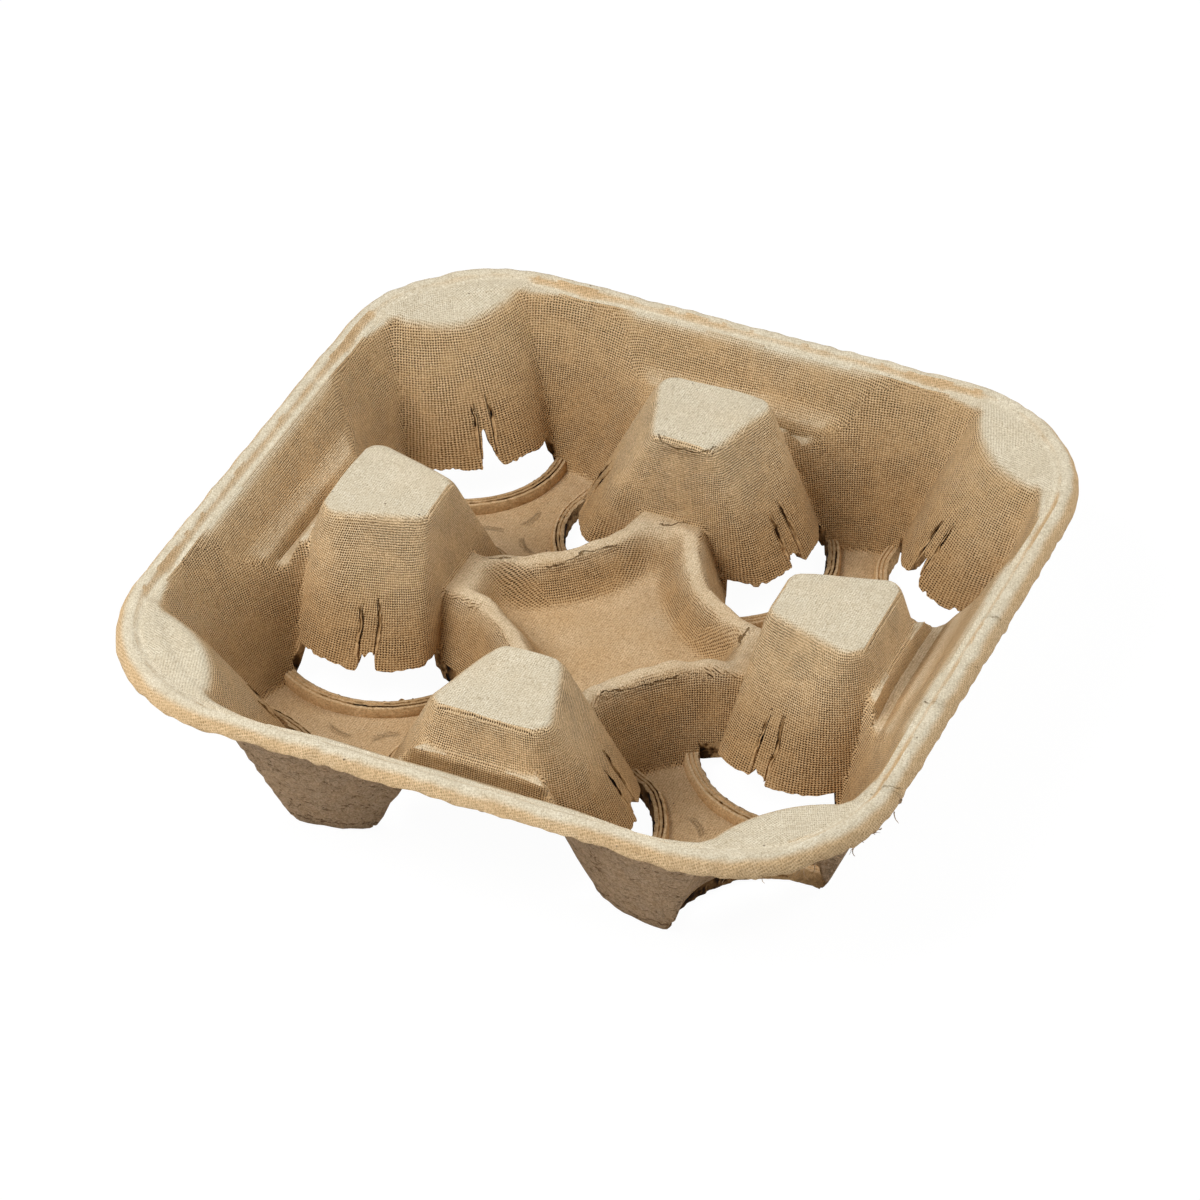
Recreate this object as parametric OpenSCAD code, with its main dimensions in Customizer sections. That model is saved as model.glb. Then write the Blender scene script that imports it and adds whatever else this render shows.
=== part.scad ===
// Four-cup carrier moulded from paper pulp as one thin shell.
// The shell is the gap between two mould forms: the upper face, and the same form set back by the wall.

/* [Tray] */
// Width and depth over the rim
tray_w = 209.6; // [206:0.2:214]
// Height from the feet to the crest of the rim
tray_h = 48; // [47:0.5:52]
// Thickness of the pulp wall
wall = 2; // [1.6:0.1:2.3]
// Outside corner radius of the rim
corner_r = 45; // [42:0.5:48]
// Radius of the rolled edge of the rim
bead_r = 4.5; // [4.2:0.1:5]
// Width of the rim from its crest to its inner edge
rim_band = 3.6; // [3:0.1:4]
// Drop from the crest of the rim to the ledge just inside it
rim_step = 2; // [1.5:0.1:2.4]

/* [Cup pockets] */
// Distance between the centres of neighbouring pockets
pocket_pitch = 98; // [97:0.5:99]
// Radius of the pocket floor
floor_r = 31; // [30:0.5:32]
// Draft of the pocket wall from the vertical
pocket_draft = 21; // [20:0.5:22]
// Length of each arm of the moulded mark on the floor
mark_l = 8; // [5:1:10]
// Depth of the mark on the floor
mark_d = 0.5; // [0.2:0.1:0.8]

/* [Towers] */
// Height of the tower tops above the feet
tower_h = 48; // [46:0.5:48]
// Distance of the tower top's inner edge from the tray centre
tower_in = 49; // [47:0.5:51]
// Distance of the tower top's outer edge from the tray centre
tower_out = 73.5; // [72:0.5:75]
// Half width of the tower top at its inner edge
tower_in_w = 9; // [8:0.5:10]
// Half width of the tower top at its outer edge
tower_out_w = 15.2; // [14:0.2:16]
// Corner radius of the tower top
tower_top_r = 5; // [3:0.5:6]
// Radius of the tower foot towards each pocket
foot_r = 28.3; // [27.5:0.1:29]
// Distance of the tower foot's centre from the tray centre
foot_x = 60.3; // [59:0.1:61.5]
// Sideways distance of the two foot arcs from the tower's middle
foot_y = 8.2; // [7.5:0.1:9]

/* [Corner buttresses] */
// Distance of the plateau's arc centre along each side
plateau_c = 105; // [103:0.5:107]
// Radius of the plateau's arc
plateau_r = 41; // [39:0.5:42]
// Distance of the buttress foot's centre along each side
brace_c = 77.3; // [76.5:0.1:78]
// Radius of the buttress foot
brace_r = 26; // [25:0.1:27]

/* [Flaps] */
// Height of the lip left round each foot
lip_z = 5; // [4.5:0.1:5.5]
// Width of the flat top of the lip
lip_w = 3.7; // [3:0.1:4.2]
// Height of the lower edge of the flaps
flap_z = 12; // [10:0.5:14]
// Height of the top of the slits
slit_z = 28.5; // [24:0.5:32]
// Distance between the two slits of a flap
slit_gap = 4.6; // [3.5:0.1:6]
// Width of a slit
slit_w = 0.8; // [0.6:0.1:1.2]
// Height of the notch between the slits
notch_h = 4.5; // [2:0.5:6]

/* [Side channels] */
// Height of the channel floor between tower and rim
channel_z = 34; // [33:0.5:36]
// Height of the rib at the tower's outer foot above the channel floor
rib_h = 2; // [1:0.1:2.5]
// Distance of the rib's edge from the tray centre
rib_x = 81.4; // [80.5:0.1:82]
// Distance of the channel's outer foot from the tray centre
channel_x = 87.5; // [86:0.5:88.5]

/* [Centre] */
// Height of the ridges between the pockets
deck_z = 26; // [25:0.5:27]
// Height of the floor of the centre recess
recess_z = 15; // [14:0.5:17]
// Half width of the recess floor
recess_w = 28; // [26:0.5:30]
// Half width of the recess at the level of the ridges
recess_top_w = 40; // [38:0.5:42]
// Thickness of a ridge at its crest
ridge_t = 2.4; // [2:0.1:3]
// Spread of a ridge's inner wall from crest to recess floor
ridge_flare = 5.6; // [5:0.1:6.5]

/* [Hidden] */
$fn = 60;
hull_fn = 44;
void_fn = 56;
skin = 0.01;
clearance = 0.2;
below = 1;
pulp = [0.78, 0.66, 0.49];
half = tray_w / 2;
crest = half - bead_r;
rim_corner = half - corner_r;
ledge_z = tray_h - rim_step;
flange_z = tray_h - bead_r;
floor_z = wall;
pocket_c = pocket_pitch / 2;
bead_steps = 4;
shoulder_drop = 3;
shoulder_grow = 2.4;
channel_foot_rise = 3.3;
channel_wall_mid = [92.5, 41];
channel_wall_top = [97.5, 46.6];
tower_flap = [56, 28];
tower_flap_turn = 11.5;
brace_flap = 65.3;
flap_reach = 8;
mark_start = 3;
mark_w = 1.2;
lobe_turn = 120;
lobe_start = 225;
ridge_r = pocket_r(deck_z) + ridge_t;

// Radius of the pocket's inner face at height z
function pocket_r(z) = floor_r + (z - floor_z) * tan(pocket_draft);

// Repeats its children on the four sides
module each_side() {
    for (turn = [0:90:270]) rotate([0, 0, turn]) children();
}

// Repeats its children at the four pocket centres
module each_pocket() {
    each_side() translate([pocket_c, pocket_c, 0]) children();
}

// A thin slice of a 2D outline with its top face at height z
module slice(z) {
    translate([0, 0, z - skin]) linear_extrude(skin) children();
}

// Square whose corner arcs share the rim's centres
module rim_outline(size, facets = hull_fn) {
    offset(r = size - rim_corner, $fn = facets) square(2 * rim_corner, center = true);
}

// Block under the rolled rim, grown by g
module rim_block(g) {
    hull() {
        for (step = [0:bead_steps]) {
            turn = 90 * step / bead_steps;
            slice(flange_z + (bead_r + g) * cos(turn)) rim_outline(crest + (bead_r + g) * sin(turn));
        }
        slice(-below) rim_outline(half + g);
    }
}

// Open space inside the rim above its ledge
module rim_void(g) {
    hull() {
        slice(ledge_z + g + skin) rim_outline(crest - rim_band - g, void_fn);
        slice(tray_h + g + below) rim_outline(crest - g + below, void_fn);
    }
}

// Tapered cup pocket
module pocket_void(g) {
    top = tray_h + below;
    rotate_extrude() intersection() {
        offset(delta = -g) polygon([
            [-floor_r, floor_z], [floor_r, floor_z],
            [pocket_r(top), top], [-floor_r, top]
        ]);
        square([tray_w, tray_w]);
    }
}

// Channel between a tower and the rim, with the rib at the tower's foot
module channel_void(g) {
    top = tray_h + wall;
    rotate([90, 0, 0]) linear_extrude(pocket_pitch, center = true) offset(delta = -g) polygon([
        [foot_x, channel_z + rib_h], [rib_x, channel_z + rib_h], [rib_x + rib_h / 2, channel_z],
        [channel_x, channel_z], [channel_x + channel_foot_rise, channel_z + channel_foot_rise],
        channel_wall_mid, channel_wall_top, [channel_wall_top.x, top], [foot_x, top]
    ]);
}

// Space over the ridges, and the recess between them
module centre_void(g) {
    translate([0, 0, deck_z + g]) linear_extrude(tray_h) square(2 * foot_x, center = true);
    difference() {
        hull() {
            slice(recess_z + g + skin) square(2 * (recess_w - g), center = true);
            slice(deck_z + g + skin) square(2 * (recess_top_w - g), center = true);
        }
        each_pocket() translate([0, 0, recess_z - wall - below])
            cylinder(h = deck_z - recess_z + wall + below,
                     r1 = ridge_r + ridge_flare + g, r2 = ridge_r + g);
    }
}

// Outline of a tower's top face
module tower_top() {
    r = tower_top_r;
    offset(r = r, $fn = hull_fn) offset(delta = -r) polygon([
        [tower_in, -tower_in_w], [tower_out, -tower_out_w],
        [tower_out, tower_out_w], [tower_in, tower_in_w]
    ]);
}

// Outline of a tower's foot, with an arc towards each pocket
module tower_foot(r) {
    hull() for (side = [-1, 1]) translate([foot_x, side * foot_y]) circle(r, $fn = hull_fn);
}

// Tower that stands between two pockets
module tower(g) {
    hull() {
        slice(tower_h + g) tower_top();
        slice(tower_h + g - shoulder_drop) offset(delta = shoulder_grow + g) tower_top();
        slice(lip_z) tower_foot(foot_r + g);
        slice(-below) tower_foot(foot_r + g);
    }
}

// Buttress that stands in a corner, under the rim
module buttress(g) {
    hull() {
        slice(ledge_z + g) translate([plateau_c, plateau_c]) circle(plateau_r + g, $fn = hull_fn);
        slice(lip_z) translate([brace_c, brace_c]) circle(brace_r + g, $fn = hull_fn);
        slice(-below) translate([brace_c, brace_c]) circle(brace_r + g, $fn = hull_fn);
    }
}

// Towers and buttresses that squeeze the cups
module squeezers(g) {
    each_side() {
        tower(g);
        intersection() {
            buttress(g);
            rim_block(g);
        }
    }
}

// Flat lips round the feet of the towers and buttresses
module lips(g) {
    translate([0, 0, -below]) linear_extrude(lip_z + g + below) each_side() {
        tower_foot(foot_r + lip_w + g);
        translate([brace_c, brace_c]) circle(brace_r + lip_w + g, $fn = hull_fn);
    }
}

// The whole mould form, grown by g
module form(g) {
    difference() {
        rim_block(g);
        rim_void(g);
        each_pocket() pocket_void(g);
        each_side() channel_void(g);
        centre_void(g);
    }
    squeezers(g);
    lips(g);
}

// Openings under the flaps, between the pocket walls
module windows() {
    intersection() {
        squeezers(clearance);
        each_pocket() pocket_void(clearance);
        translate([0, 0, flap_z / 2]) cube([tray_w, tray_w, flap_z], center = true);
    }
}

// Two slits and the notch between them, through a flap that faces +Y
module flap_cut() {
    depth = 2 * flap_reach;
    for (side = [-1, 1]) {
        translate([side * slit_gap / 2, 0, (flap_z + slit_z) / 2])
            cube([slit_w, depth, slit_z - flap_z + below], center = true);
    }
    translate([0, 0, flap_z + notch_h / 2])
        cube([slit_gap, depth, notch_h + below], center = true);
}

// Cuts in all twelve flaps
module flap_cuts() {
    each_side() {
        for (side = [0, 1]) mirror([0, side, 0])
            translate(tower_flap) rotate([0, 0, tower_flap_turn]) flap_cut();
        translate([brace_flap, brace_flap]) rotate([0, 0, 135]) flap_cut();
    }
}

// Three-armed mark in each pocket floor
module floor_marks() {
    each_pocket() for (arm = [0:2]) rotate([0, 0, lobe_start + lobe_turn * arm])
        translate([mark_start, -mark_w / 2, floor_z - mark_d]) cube([mark_l, mark_w, wall]);
}

// Space outside the pockets below the flange
module skirt() {
    difference() {
        translate([0, 0, -below]) linear_extrude(flange_z + below) square(2 * tray_w, center = true);
        translate([0, 0, -2 * below]) linear_extrude(tray_h + 2 * below) rim_outline(half - wall - clearance);
    }
}

module carrier_shell() {
    color(pulp) difference() {
        form(0);
        form(-wall);
        windows();
        flap_cuts();
        floor_marks();
        skirt();
        translate([0, 0, -2 * below]) cube([2 * tray_w, 2 * tray_w, 4 * below], center = true);
    }
}

carrier_shell();
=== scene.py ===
"""Looks of a cup carrier moulded from paper pulp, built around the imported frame.

The carrier is one thin shell. Its screen side and its back are two sheets draped over the same mould form,
joined by the rolled rim. The openings under the flaps, their slits and the lips round the floors are cut and
joined afterwards. Lengths are in millimetres until a mesh is placed, and the mesh itself is in metres.
"""

import logging
import math
from dataclasses import dataclass, field
from enum import Enum, IntEnum

import bpy
import numpy as np
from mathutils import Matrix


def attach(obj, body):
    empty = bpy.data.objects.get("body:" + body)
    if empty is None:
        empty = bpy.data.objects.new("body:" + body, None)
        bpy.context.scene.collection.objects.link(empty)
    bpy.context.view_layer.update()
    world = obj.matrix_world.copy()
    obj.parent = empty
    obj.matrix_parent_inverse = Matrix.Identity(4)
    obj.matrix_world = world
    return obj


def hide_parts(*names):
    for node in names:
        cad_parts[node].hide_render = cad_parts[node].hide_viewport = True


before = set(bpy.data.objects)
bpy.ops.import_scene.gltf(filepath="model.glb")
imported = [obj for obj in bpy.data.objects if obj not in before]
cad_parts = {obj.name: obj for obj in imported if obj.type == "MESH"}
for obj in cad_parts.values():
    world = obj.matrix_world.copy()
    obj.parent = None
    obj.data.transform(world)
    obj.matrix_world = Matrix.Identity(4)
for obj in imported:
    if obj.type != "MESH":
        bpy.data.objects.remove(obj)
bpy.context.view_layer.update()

LOG = logging.getLogger("cup_carrier")
MM = 0.001
Array = np.ndarray
Colour = tuple[float, float, float]
Socket = bpy.types.NodeSocket
Value = float | Socket
SIGNS = ((1, 1), (-1, 1), (-1, -1), (1, -1))
TWILL = np.array([(0.95, 0.3), (-0.5, 0.8)])
FAR_ASIDE, FAR_PAST = 9.0, 60.0
WHITE: Colour = (1.0, 1.0, 1.0)


class Side(Enum):
    """The two sides of the moulded sheet, with the number of grid cells each is draped with."""

    SCREEN = 200
    BACK = 100


class Change(Enum):
    """What a tool does to the shell, with the name that the modifier gives it."""

    CUT = "DIFFERENCE"
    ADD = "UNION"


class Region(IntEnum):
    """Parts of the mould form, each with its own run of the screen's weave."""

    FLOOR = 0
    POCKET = 1
    CENTRE = 2
    CHANNEL = 3
    TOWER_SIDE = 4
    TOWER_TOP = 5
    BRACE_SIDE = 6
    PLATEAU = 7


@dataclass(frozen=True)
class FormSizes:
    """Sizes of the mould form in millimetres.

    They are the CAD model's, apart from those of the recess, ridges, tower faces and plateaus, which were fitted to
    the photograph later. The blends are the height differences within which two surfaces run into each other.
    """

    wall: float = 2.0
    pocket_c: float = 49.0
    floor_r: float = 31.0
    draft: float = math.radians(21.0)
    deck_z: float = 26.0
    recess_z: float = 15.0
    recess_w: float = 29.5
    recess_top_w: float = 37.5
    ridge_r: float = 44.8
    ridge_flare: float = 6.2
    face_u: float = 47.0
    face_slope: float = 6.3
    tower_z: float = 48.0
    tower_near: tuple[float, float] = (51.4, 5.2)
    tower_far: tuple[float, float] = (71.4, 11.5)
    tower_r: float = 4.4
    lip_z: float = 5.0
    foot: tuple[float, float] = (60.3, 8.2)
    foot_r: float = 28.3
    plateau_c: float = 105.0
    plateau_r: float = 39.0
    brace_c: float = 77.3
    brace_r: float = 26.0
    ledge_z: float = 46.0
    rim_corner: float = 59.8
    floor_blend: float = 3.0
    deck_blend: float = 3.0
    ridge_blend: float = 4.0
    recess_blend: float = 5.0
    face_blend: float = 7.0
    base_blend: float = 4.0
    tower_blends: tuple[float, float] = (3.8, 2.6)
    brace_blends: tuple[float, float] = (4.6, 3.2)


def soft_min(a: Array, b: Array | float, reach: float) -> Array:
    """Take the lower of two heights, with the crease between them rounded.

    Args:
        a: First heights.
        b: Second heights.
        reach: Height difference within which the two blend.

    Returns:
        The blended heights.
    """
    overlap = np.maximum(reach - np.abs(a - b), 0.0)
    return np.minimum(a, b) - overlap ** 2 / (4.0 * reach)


def soft_max(a: Array, b: Array | float, reach: float) -> Array:
    """Take the higher of two heights, with the crease between them rounded.

    Args:
        a: First heights.
        b: Second heights.
        reach: Height difference within which the two blend.

    Returns:
        The blended heights.
    """
    return -soft_min(-a, -b, reach)


def soft_step(value: Array, low: float, high: float) -> Array:
    """Rise smoothly from 0 to 1 between two values.

    Args:
        value: Values.
        low: Value at which the rise starts.
        high: Value at which it ends.

    Returns:
        The share for each value.
    """
    share = np.clip((value - low) / (high - low), 0.0, 1.0)
    return share * share * (3.0 - 2.0 * share)


def unwrap(values: Array, period: float) -> Array:
    """Bring the corners of each face to the same round of a repeating measure.

    Args:
        values: The measure by face and by corner.
        period: Length of one round.

    Returns:
        The measure, each corner within half a round of its face's first.
    """
    return values + period * np.rint((values[:, :1] - values) / period)


@dataclass(frozen=True)
class Waviness:
    """Seeded smooth unevenness, a sum of plane waves with a deviation of about one."""

    seed: int
    length: float
    spread: float = 2.5
    count: int = 22

    def at(self, *coords: Array) -> Array:
        """Sample the unevenness.

        Args:
            coords: One array for each coordinate, all of the same shape.

        Returns:
            The unevenness at each point.
        """
        rng = np.random.default_rng(self.seed)
        total = np.zeros_like(coords[0], dtype=float)
        for _ in range(self.count):
            way = rng.normal(size=len(coords))
            way *= math.tau / (np.linalg.norm(way) * self.length * rng.uniform(1.0, self.spread))
            total += np.sin(sum(w * c for w, c in zip(way, coords)) + rng.uniform(0.0, math.tau))
        return total / math.sqrt(self.count / 2.0)


class LoftSide:
    """Sloping side of a tapered boss as a height field, the convex loft of two rounded outlines."""

    def __init__(self, top: Array, top_r: float, foot: Array, foot_r: float,
                 heights: tuple[float, float], turns: Array) -> None:
        """Prepare the planes that bound the loft.

        Args:
            top: Centres of the top outline's rounding circles.
            top_r: Rounding radius of the top outline.
            foot: Centres of the foot outline's rounding circles.
            foot_r: Rounding radius of the foot outline.
            heights: Heights of the top and of the foot.
            turns: Directions of the bounding planes, in radians.
        """
        self.normals = np.stack([np.cos(turns), np.sin(turns)], axis=1)
        self.top_reach = (self.normals @ top.T).max(axis=1) + top_r
        foot_reach = (self.normals @ foot.T).max(axis=1) + foot_r
        self.top_z = heights[0]
        self.slopes = (heights[0] - heights[1]) / (foot_reach - self.top_reach)

    def height(self, u: Array, v: Array, inset: float) -> Array:
        """Height of the sloping side over a point.

        Args:
            u: Coordinates along the boss's axis.
            v: Coordinates across it.
            inset: Distance by which the side lies inside the screen face.

        Returns:
            The heights, unbounded above and below.
        """
        result = np.full_like(u, np.inf)
        for (nx, ny), reach, slope in zip(self.normals, self.top_reach, self.slopes):
            shift = inset * math.sqrt(1.0 + 1.0 / slope ** 2)
            np.minimum(result, self.top_z - (nx * u + ny * v + shift - reach) * slope, out=result)
        return result


class MouldForm:
    """The mould form that both sides of the sheet follow."""

    CHANNEL = np.array([(55.0, 36.2), (80.8, 36.3), (81.9, 31.6), (84.4, 31.4), (86.5, 34.1), (87.5, 34.4),
                        (90.8, 37.3), (92.5, 41.0), (95.3, 44.9), (97.5, 46.6), (110.0, 47.5)])

    def __init__(self, sizes: FormSizes) -> None:
        """Prepare the lofts of the towers and buttresses.

        Args:
            sizes: Sizes of the form.
        """
        self.s = sizes
        top = np.array([(u, hand * v) for u, v in (sizes.tower_near, sizes.tower_far) for hand in (1, -1)])
        foot = np.array([sizes.foot, (sizes.foot[0], -sizes.foot[1])])
        self.tower = LoftSide(top, sizes.tower_r, foot, sizes.foot_r, (sizes.tower_z, sizes.lip_z),
                              np.radians(np.arange(-4.0, 184.1, 3.0)))
        self.brace = LoftSide(np.full((1, 2), sizes.plateau_c), sizes.plateau_r + 0.8,
                              np.full((1, 2), sizes.brace_c), sizes.brace_r, (sizes.ledge_z, sizes.lip_z),
                              np.radians(np.arange(222.0, 286.0, 3.0)))
        self.dents = Waviness(11, 16.0)
        self.lumps = Waviness(12, 6.0)

    def channel(self, u: Array, inset: float) -> Array:
        """Section of the channel between a tower and the rim.

        Args:
            u: Distances from the carrier's middle.
            inset: Distance below the screen face.

        Returns:
            The heights of the channel.
        """
        def section(at: Array) -> Array:
            """Height of the channel's screen face at some distances."""
            return np.interp(at, self.CHANNEL[:, 0], self.CHANNEL[:, 1])

        if inset == 0.0:
            return sum(section(u + step) for step in (-0.4, -0.2, 0.0, 0.2, 0.4)) / 5.0
        steps = inset * np.sin(np.linspace(-1.5, 1.5, 13))
        return np.min([section(u + d) - math.sqrt(inset ** 2 - d ** 2) for d in steps], axis=0)

    def terms(self, x: Array, y: Array, inset: float) -> dict[str, Array]:
        """Heights of the surfaces that the form is made of.

        Args:
            x: First coordinates.
            y: Second coordinates.
            inset: Distance below the screen face.

        Returns:
            The height of each surface by its name.
        """
        s = self.s
        u, v = np.maximum(np.abs(x), np.abs(y)), np.minimum(np.abs(x), np.abs(y))
        radius = np.hypot(u - s.pocket_c, v - s.pocket_c)
        pocket = s.wall + (radius - s.floor_r - inset / math.cos(s.draft)) / math.tan(s.draft)
        rise = s.deck_z - s.recess_z
        ridge = s.deck_z - (radius - s.ridge_r + 1.12 * inset) * rise / s.ridge_flare
        end_slope = rise / (s.recess_top_w - s.recess_w)
        end = s.recess_z - inset * math.hypot(1.0, end_slope) + (u - s.recess_w) * end_slope
        recess = soft_max(soft_max(ridge, end, s.ridge_blend), s.recess_z - inset, s.recess_blend)
        centre = soft_min(recess, s.deck_z - inset, s.deck_blend)
        face = s.tower_z + (u - s.face_u - 1.0125 * inset) * s.face_slope
        ledge = np.full_like(u, s.ledge_z - inset)
        channel = np.where(v < s.pocket_c, soft_min(self.channel(u, inset), ledge + 0.9, 1.0), ledge)
        return {
            "pocket": soft_max(pocket, s.wall - inset, s.floor_blend),
            "centre": centre,
            "block": np.where(u < s.foot[0], centre, channel),
            "tower_side": soft_min(self.tower.height(u, v, inset), face, s.face_blend),
            "tower": np.full_like(u, s.tower_z - inset),
            "brace_side": self.brace.height(u, v, inset),
            "brace": ledge + 0.4,
        }

    def height(self, x: Array, y: Array, inset: float) -> Array:
        """Height of one side of the sheet.

        Args:
            x: First coordinates.
            y: Second coordinates.
            inset: Distance below the screen face.

        Returns:
            The heights.
        """
        t = self.terms(x, y, inset)
        height = soft_min(t["block"], t["pocket"], self.s.base_blend)
        for name, (top, foot) in (("tower", self.s.tower_blends), ("brace", self.s.brace_blends)):
            height = soft_max(height, soft_min(t[name + "_side"], t[name], top), foot)
        return height

    def regions(self, x: Array, y: Array) -> Array:
        """Part of the form that shows at each point.

        Args:
            x: First coordinates.
            y: Second coordinates.

        Returns:
            A Region value for each point.
        """
        t = self.terms(x, y, 0.0)
        u = np.maximum(np.abs(x), np.abs(y))
        tower = np.minimum(t["tower_side"], t["tower"])
        brace = np.minimum(t["brace_side"], t["brace"])
        base = np.minimum(t["block"], t["pocket"])
        found = np.where(t["pocket"] < self.s.wall + 0.8, Region.FLOOR, Region.POCKET)
        block = np.where(u < self.s.foot[0], Region.CENTRE, Region.CHANNEL)
        found = np.where(t["block"] < t["pocket"], block, found)
        side = np.where(t["tower_side"] < t["tower"], Region.TOWER_SIDE, Region.TOWER_TOP)
        found = np.where(tower > base, side, found)
        brace_part = np.where(t["brace_side"] < t["brace"], Region.BRACE_SIDE, Region.PLATEAU)
        return np.where(brace > np.maximum(base, tower), brace_part, found)


class Build:
    """Small helpers round Blender's own modelling operators."""

    @staticmethod
    def only(*objects: bpy.types.Object) -> None:
        """Select some objects and nothing else, the first of them active.

        Args:
            objects: Objects to select.
        """
        bpy.ops.object.select_all(action="DESELECT")
        for obj in objects:
            obj.select_set(True)
        bpy.context.view_layer.objects.active = objects[0]

    @staticmethod
    def coords(obj: bpy.types.Object) -> Array:
        """Read the vertex places of an object.

        Args:
            obj: A mesh object.

        Returns:
            One row for each vertex.
        """
        flat = np.empty(len(obj.data.vertices) * 3)
        obj.data.vertices.foreach_get("co", flat)
        return flat.reshape(-1, 3)

    @staticmethod
    def place(obj: bpy.types.Object, points: Array) -> None:
        """Move the vertices of an object.

        Args:
            obj: A mesh object.
            points: New places in metres.
        """
        obj.data.vertices.foreach_set("co", np.ascontiguousarray(points, dtype=float).ravel())
        obj.data.update()

    @staticmethod
    def edit(obj: bpy.types.Object, *steps: tuple[str, dict]) -> None:
        """Run edit-mode operators on the whole of an object.

        Args:
            obj: A mesh object.
            steps: Names of mesh operators with their settings.
        """
        Build.only(obj)
        bpy.ops.object.mode_set(mode="EDIT")
        bpy.ops.mesh.select_all(action="SELECT")
        for name, settings in steps:
            getattr(bpy.ops.mesh, name)(**settings)
        bpy.ops.object.mode_set(mode="OBJECT")

    @staticmethod
    def join(objects: list[bpy.types.Object], name: str) -> bpy.types.Object:
        """Join objects into the first of them.

        Args:
            objects: Objects to join.
            name: Name of the result.

        Returns:
            The joined object.
        """
        Build.only(*objects)
        bpy.ops.object.join()
        objects[0].name = objects[0].data.name = name
        return objects[0]

    @staticmethod
    def attribute(obj: bpy.types.Object, name: str, values: Array | float) -> None:
        """Store a number for each vertex.

        Args:
            obj: A mesh object.
            name: Name of the attribute.
            values: The numbers, or one for all.
        """
        store = obj.data.attributes.get(name) or obj.data.attributes.new(name, "FLOAT", "POINT")
        store.data.foreach_set("value", np.broadcast_to(values, len(obj.data.vertices)).astype(np.float32))

    @staticmethod
    def mark(obj: bpy.types.Object, name: str, picked: Array, value: float) -> None:
        """Change the stored number of some vertices.

        Args:
            obj: A mesh object.
            name: Name of the attribute.
            picked: Whether each vertex is one of them.
            value: The number.
        """
        stored = np.empty(len(picked), dtype=np.float32)
        obj.data.attributes[name].data.foreach_get("value", stored)
        stored[picked] = value
        Build.attribute(obj, name, stored)

    @staticmethod
    def tube(sections: Array, name: str) -> bpy.types.Object:
        """Make a closed bar through a row of sections.

        Args:
            sections: Places in millimetres, by station and by corner.
            name: Name of the bar.

        Returns:
            The bar.
        """
        stations, corners = sections.shape[:2]
        bpy.ops.object.select_all(action="DESELECT")
        bpy.ops.mesh.primitive_cylinder_add(vertices=corners, radius=1.0, depth=2.0, end_fill_type="NGON")
        bar = bpy.context.active_object
        bar.name = name
        ends = Build.coords(bar)[:, 2]
        for edge in bar.data.edges:
            a, b = edge.vertices
            edge.select = bool(abs(ends[a] - ends[b]) > 1.0)
        for part in (*bar.data.vertices, *bar.data.polygons):
            part.select = False
        bpy.ops.object.mode_set(mode="EDIT")
        bpy.ops.mesh.select_mode(type="EDGE")
        if stations > 2:
            bpy.ops.mesh.subdivide(number_cuts=stations - 2)
        bpy.ops.object.mode_set(mode="OBJECT")
        start = Build.coords(bar)
        station = np.rint((start[:, 2] + 1.0) / 2.0 * (stations - 1)).astype(int)
        turn = np.mod(np.arctan2(start[:, 1], start[:, 0]) + 1e-4, math.tau)
        corner = np.floor(turn / (math.tau / corners) + 1e-3).astype(int) % corners
        Build.place(bar, sections[station, corner] * MM)
        Build.edit(bar, ("normals_make_consistent", {"inside": False}), ("quads_convert_to_tris", {}))
        bar.data.uv_layers[0].name = "screen"
        return bar

    @staticmethod
    def combine(target: bpy.types.Object, tool: bpy.types.Object, operation: Change) -> None:
        """Cut a closed tool out of a closed object, or join it on.

        Args:
            target: Object that is changed.
            tool: Object that cuts or is joined, and is deleted.
            operation: What the tool does.
        """
        Build.only(target)
        bpy.ops.object.modifier_add(type="BOOLEAN")
        change = target.modifiers[-1]
        change.operation = operation.value
        change.solver = "MANIFOLD"
        change.object = tool
        bpy.ops.object.modifier_apply(modifier=change.name)
        Build.only(tool)
        bpy.ops.object.delete()


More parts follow.
